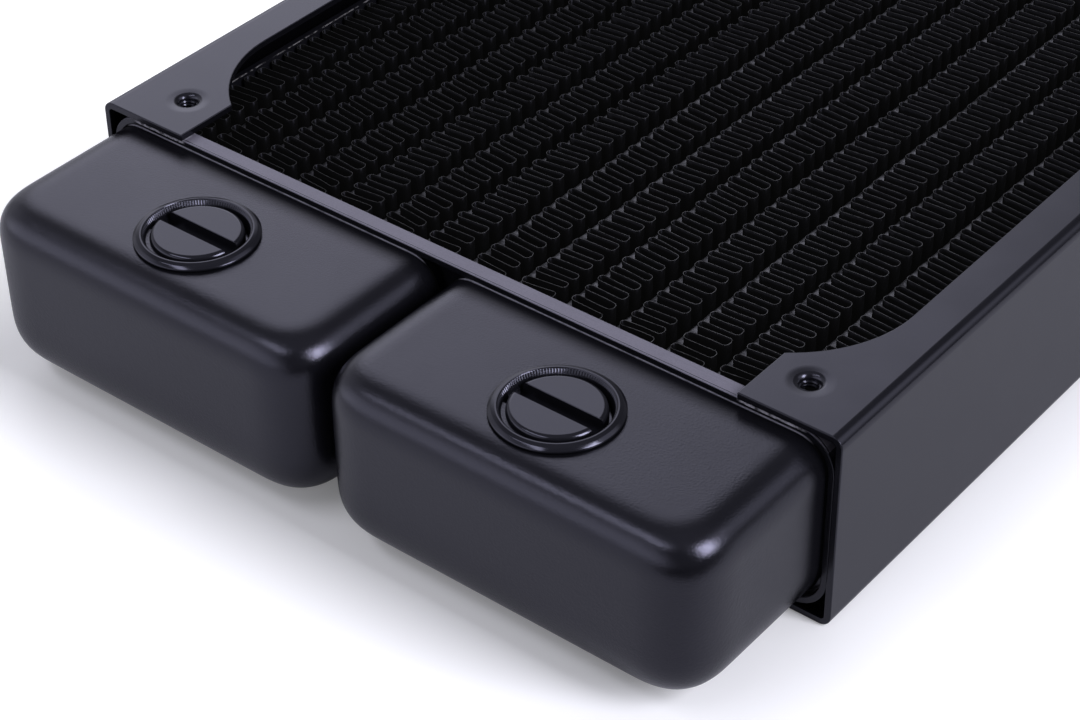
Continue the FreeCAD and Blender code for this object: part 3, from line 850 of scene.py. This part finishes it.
def make_plug(side):
    """A plug: a ring with a ribbed inside wall, a head that fills the seat, a threaded shank, and
    a disc with a round shoulder that the screwdriver slot cuts in two."""
    node = f"port_plug_{side}"
    low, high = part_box(node)
    tank_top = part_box("tank_outlet")[1].z
    centre = Vector(((low.x + high.x) / 2, (low.y + high.y) / 2, tank_top))
    bottom = low.z - tank_top
    head_bottom = -1.8 * MM
    groove = -1.1 * MM

    def plain(points):
        return [[tuple(point)] * PLUG_SEGMENTS for point in points]

    foot = [(0.0, bottom), (4.6 * MM, bottom), (4.9 * MM, bottom + 0.05 * MM)]
    outside = [
        (THREAD_ROOT, head_bottom, 0),
        (HEAD_RADIUS, head_bottom, 0.15 * MM),
        (HEAD_RADIUS, 0.15 * MM, 0.06 * MM),
        (RING_OUTSIDE, 0.2 * MM, 0.06 * MM),
        (RING_OUTSIDE, 0.45 * MM, 0.2 * MM),
        (RING_OUTSIDE - 0.45 * MM, 0.82 * MM, 0.4 * MM),
        (RING_INSIDE + 0.24 * MM, 0.98 * MM, 0.1 * MM),
        (RING_INSIDE + 0.03 * MM, 0.98 * MM, 0.04 * MM),
        (RING_INSIDE, 0.88 * MM, 0),
    ]
    rows = plain(foot)
    rows += thread_rows(bottom + 0.35 * MM, head_bottom - 0.3 * MM)
    rows += plain(rounded_profile(outside)[:-1])
    rows += ribbed_rows()
    rows += plain([(DISC_RADIUS, groove), (0.0, groove)])
    turned, rings = turned_rings(rows, centre)
    shells = [(turned, joined_rings(rings))]
    for half in (1, -1):
        shells.append(half_disc(centre, half, groove - 0.05 * MM, DISC_TOP))
    vertices = []
    faces = []
    for shell_vertices, shell_faces in shells:
        start = len(vertices)
        vertices.extend(shell_vertices)
        faces.extend(tuple(start + corner for corner in face) for face in shell_faces)
    piece = new_piece(f"plug_{side}", vertices, faces, "plug_black", f"{side}_plug")
    piece.data.set_sharp_from_angle(angle=math.radians(50))
    even_shading(piece)
    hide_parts(node)


# ---------------------------------------------------------------------------------------------
# Screw hole threads
# ---------------------------------------------------------------------------------------------

SCREW_PITCH = 0.5 * MM
SCREW_CREST = 1.14 * MM
SCREW_ROOT = 1.3 * MM
SCREW_SLEEVE = SCREW_ROOT + 0.15 * MM
SCREW_SEGMENTS = 64
SCREW_STEPS = 36
SCREW_MOUTH = 0.75 * MM
SCREW_FOOT = 1.88 * MM


def make_screw_thread(name, x, y, top, bottom):
    """The thread inside a screw hole's collar: a thin sleeve with a helical inside."""
    centre = Vector((x, y, 0))
    rows = [[(SCREW_SLEEVE, top)] * SCREW_SEGMENTS]
    for step in range(SCREW_STEPS + 1):
        height = top + (bottom - top) * step / SCREW_STEPS
        row = []
        for segment in range(SCREW_SEGMENTS):
            phase = (height / SCREW_PITCH - segment / SCREW_SEGMENTS) % 1.0
            row.append((SCREW_CREST + (SCREW_ROOT - SCREW_CREST) * abs(2 * phase - 1), height))
        rows.append(row)
    rows.append([(SCREW_SLEEVE, bottom)] * SCREW_SEGMENTS)
    vertices, rings = turned_rings(rows, centre)
    rings.append(rings[0])
    faces = [tuple(reversed(face)) for face in joined_rings(rings)]
    piece = new_piece(name, vertices, faces, "frame_paint")
    piece.data.set_sharp_from_angle(angle=math.radians(50))


def make_screw_threads():
    for side, across in (("left", -HOLE_X), ("right", HOLE_X)):
        for end, along in (("front", -HOLE_X), ("rear", HOLE_X)):
            y = HOLE_MIDDLE_Y + along
            top_name = f"thread_top_{end}_{side}"
            make_screw_thread(top_name, across, y, TOP - SCREW_MOUTH, TOP - SCREW_FOOT)
            make_screw_thread(f"thread_bottom_{end}_{side}", across, y, SCREW_FOOT, SCREW_MOUTH)


# ---------------------------------------------------------------------------------------------
# Solder beads
# ---------------------------------------------------------------------------------------------

BEAD_RADIUS = 0.16 * MM
BEAD_SPACING = 0.7 * MM
BEAD_SIDES = 8
CORNER_STEPS = 10


def tank_outline(low, high):
    """A tank's closed outline in the XZ plane, anticlockwise from the bottom left."""
    corners = [
        (low.x + TANK_BOTTOM_ROUND, low.z + TANK_BOTTOM_ROUND, TANK_BOTTOM_ROUND, 180),
        (high.x - TANK_BOTTOM_ROUND, low.z + TANK_BOTTOM_ROUND, TANK_BOTTOM_ROUND, 270),
        (high.x - TANK_TOP_ROUND, high.z - TANK_TOP_ROUND, TANK_TOP_ROUND, 0),
        (low.x + TANK_TOP_ROUND, high.z - TANK_TOP_ROUND, TANK_TOP_ROUND, 90),
    ]
    points = []
    for x, z, radius, start in corners:
        for step in range(CORNER_STEPS + 1):
            angle = math.radians(start + 90 * step / CORNER_STEPS)
            points.append(Vector((x + radius * math.cos(angle), z + radius * math.sin(angle))))
    return points


def resampled(points, spacing):
    """Even points round a closed outline."""
    closed = points + [points[0]]
    lengths = [(b - a).length for a, b in zip(closed, closed[1:])]
    total = sum(lengths)
    count = round(total / spacing)
    even = []
    index = 0
    passed = 0.0
    for step in range(count):
        wanted = total * step / count
        while passed + lengths[index] < wanted:
            passed += lengths[index]
            index += 1
        share = (wanted - passed) / lengths[index]
        even.append(closed[index].lerp(closed[index + 1], share))
    return even


def make_solder_bead(name, tank, y, seed):
    """A thin uneven bead where a tank leaves its header pan."""
    outline = resampled(tank_outline(*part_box(tank)), BEAD_SPACING)
    count = len(outline)
    vertices = []
    rings = []
    for index, point in enumerate(outline):
        along = (outline[(index + 1) % count] - outline[index - 1]).normalized()
        outwards = Vector((along.y, -along.x))
        radius = BEAD_RADIUS * (1 + 0.3 * noise.noise(Vector((index * 0.23, seed, 0))))
        rings.append(list(range(len(vertices), len(vertices) + BEAD_SIDES)))
        for side in range(BEAD_SIDES):
            angle = 2 * math.pi * side / BEAD_SIDES
            reach = radius * math.cos(angle)
            x = point.x + outwards.x * reach
            z = point.y + outwards.y * reach
            vertices.append((x, y + radius * math.sin(angle), z))
    rings.append(rings[0])
    faces = joined_rings(rings)
    paint(new_piece(name, vertices, faces, "tank_paint"), "solder_bead")


def make_solder_beads():
    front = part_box("header_plate_front")[0].y
    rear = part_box("header_plate_rear")[1].y
    make_solder_bead("solder_bead_inlet", "tank_inlet", front, 1.0)
    make_solder_bead("solder_bead_outlet", "tank_outlet", front, 2.0)
    make_solder_bead("solder_bead_return", "tank_return", rear, 3.0)


# ---------------------------------------------------------------------------------------------
# Camera, lights and floor
# ---------------------------------------------------------------------------------------------

def direction(azimuth, elevation):
    """The unit vector at an azimuth measured from +Y towards +X, and an elevation, in degrees."""
    turn = math.radians(azimuth)
    rise = math.radians(elevation)
    return Vector(
        (math.sin(turn) * math.cos(rise), math.cos(turn) * math.cos(rise), math.sin(rise))
    )


def make_camera():
    azimuth = 180.0 - 39.025
    elevation = 37.484
    roll = math.radians(-0.814)
    distance = 324.83 * MM
    aim = Vector((24.03 * MM, FRONT_EDGE - 9.45 * MM, TOP))
    back = direction(azimuth, elevation)
    level_right = (-back).cross(Vector((0, 0, 1))).normalized()
    level_up = back.cross(level_right)
    right = math.cos(roll) * level_right + math.sin(roll) * level_up
    up = math.cos(roll) * level_up - math.sin(roll) * level_right
    data = bpy.data.cameras.new("camera")
    data.sensor_width = 36.0
    data.lens = 88.57
    data.clip_start = 0.01
    camera = bpy.data.objects.new("camera", data)
    bpy.context.scene.collection.objects.link(camera)
    camera.matrix_world = (
        Matrix.Translation(aim + back * distance) @ Matrix((right, up, back)).transposed().to_4x4()
    )
    bpy.context.scene.camera = camera


LIGHT_TINT = (0.86, 0.86, 1.0)


def soft_box(name, azimuth, elevation, width, height, radiance, distance=0.7):
    """A rectangular light that faces the radiator."""
    aim = Vector((0.0, -0.04, 0.02))
    data = bpy.data.lights.new(name, "AREA")
    data.shape = "RECTANGLE"
    data.size = width
    data.size_y = height
    data.color = LIGHT_TINT
    data.energy = radiance * math.pi * width * height
    lamp = bpy.data.objects.new(name, data)
    bpy.context.scene.collection.objects.link(lamp)
    away = direction(azimuth, elevation)
    lamp.location = aim + away * distance
    lamp.rotation_euler = away.to_track_quat("Z", "Y").to_euler()


def make_world():
    """A pale studio: each lobe is an azimuth, an elevation, the angles at which it starts and ends
    to fade, and how much it adds. The camera itself sees plain white."""
    lobes = [
        (-44, 33, 9, 22, 1.55),
        (-52, 11, 6, 24, 0.70),
        (-150, -5, 20, 60, 1.50),
        (-100, 20, 10, 40, 0.50),
        (52, 34, 6, 26, 1.00),
        (0, 90, 10, 45, 0.18),
    ]
    base = 0.16
    world = bpy.data.worlds.new("studio")
    bpy.context.scene.world = world
    world.use_nodes = True
    tree = world.node_tree
    background = tree.nodes["Background"]
    place = tree.nodes.new("ShaderNodeTexCoord").outputs["Generated"]
    total = None
    for azimuth, elevation, inner, outer, strength in lobes:
        dot = tree.nodes.new("ShaderNodeVectorMath")
        dot.operation = "DOT_PRODUCT"
        tree.links.new(place, dot.inputs[0])
        dot.inputs[1].default_value = direction(azimuth, elevation)
        fade = tree.nodes.new("ShaderNodeMapRange")
        fade.interpolation_type = "SMOOTHSTEP"
        tree.links.new(dot.outputs["Value"], fade.inputs["Value"])
        fade.inputs["From Min"].default_value = math.cos(math.radians(outer))
        fade.inputs["From Max"].default_value = math.cos(math.radians(inner))
        fade.inputs["To Max"].default_value = strength
        if total is None:
            total = fade.outputs["Result"]
        else:
            add = tree.nodes.new("ShaderNodeMath")
            tree.links.new(total, add.inputs[0])
            tree.links.new(fade.outputs["Result"], add.inputs[1])
            total = add.outputs["Value"]
    level = tree.nodes.new("ShaderNodeMath")
    tree.links.new(total, level.inputs[0])
    level.inputs[1].default_value = base
    tree.links.new(level.outputs["Value"], background.inputs["Strength"])
    background.inputs["Color"].default_value = (*LIGHT_TINT, 1.0)
    white = tree.nodes.new("ShaderNodeBackground")
    white.inputs["Strength"].default_value = 1.2
    rays = tree.nodes.new("ShaderNodeLightPath")
    mix = tree.nodes.new("ShaderNodeMixShader")
    tree.links.new(rays.outputs["Is Camera Ray"], mix.inputs["Fac"])
    tree.links.new(background.outputs["Background"], mix.inputs[1])
    tree.links.new(white.outputs["Background"], mix.inputs[2])
    tree.links.new(mix.outputs["Shader"], tree.nodes["World Output"].inputs["Surface"])


def flat_sheet(name, corners):
    mesh = bpy.data.meshes.new(name)
    mesh.from_pydata(corners, [], [tuple(range(len(corners)))])
    sheet = bpy.data.objects.new(name, mesh)
    bpy.context.scene.collection.objects.link(sheet)
    return sheet


def make_floor():
    """A white floor, brighter to the eye than in the radiator's reflections, and clearing to pure white
    away from the radiator. The glow that clears it is painted light, and in reflections painted shade
    darkens its right side."""
    half = 3.0
    floor = flat_sheet("floor", [(-half, -half, 0), (half, -half, 0), (half, half, 0), (-half, half, 0)])
    nodes = Nodes("floor_white")
    seen = nodes.add("ShaderNodeLightPath").outputs["Is Camera Ray"]
    # Painted shade: as the radiator's paint reflects it, the floor is darker to the right.
    rightwards = nodes.ramp(nodes.axis("X"), 0.0, 1.0, -0.02, 0.08)
    reflected = nodes.mix_colour(rightwards, (0.70, 0.70, 0.70), (0.55, 0.55, 0.55))
    nodes.feed(nodes.mix_colour(seen, reflected, (0.92, 0.92, 0.87)), "Base Color")
    # Painted light: to the eye the floor glows, faintly by the radiator and strongly away from it.
    squares = 0.0
    for axis, reach in (("X", CAD_BOX[1][0]), ("Y", CAD_BOX[1][1])):
        past = nodes.math("SUBTRACT", nodes.math("ABSOLUTE", nodes.axis(axis)), reach)
        past = nodes.math("MAXIMUM", past)
        squares = nodes.math("ADD", nodes.product(past, past), squares)
    clear = nodes.ramp(nodes.math("SQRT", squares), 0.06, 0.9, -0.01, 0.06)
    nodes.feed(nodes.product(seen, clear), "Emission Strength")
    nodes.set(Emission_Color=(1.0, 1.0, 1.0, 1.0), Roughness=0.7)
    floor.data.materials.append(nodes.material)


def make_dark_card():
    """A black card on the floor at the camera's side, seen only in the radiator's paint."""
    corner = Vector((FRAME_HIGH.x, CAD_BOX[0][1], 0.0005))
    away = direction(128, 0)
    across = direction(38, 0)
    near = corner + away * 0.035
    far = corner + away * 1.5
    card = flat_sheet(
        "dark_card", [near - across * 0.09, far - across * 0.5, far + across * 1.2, near + across * 0.25]
    )
    nodes = Nodes("card_black")
    nodes.set(Base_Color=(0.01, 0.01, 0.01, 1.0), Roughness=0.9)
    card.data.materials.append(nodes.material)
    card.visible_camera = False
    card.visible_diffuse = False
    card.visible_shadow = False


def make_stage():
    make_camera()
    make_world()
    make_floor()
    make_dark_card()
    soft_box("key_light", 85, 33, 0.24, 0.40, 17.0)
    soft_box("front_light", 203, 58, 0.50, 0.11, 5.8)
    bpy.context.scene.view_settings.view_transform = "Standard"


paint_cad_nodes()
for node in ("side_frame_left", "side_frame_right", "header_plate_front", "header_plate_rear"):
    soften_edges(node)
make_fins()
make_tubes()
make_tanks()
for side in ("left", "right"):
    make_plug(side)
make_screw_threads()
make_solder_beads()
make_stage()
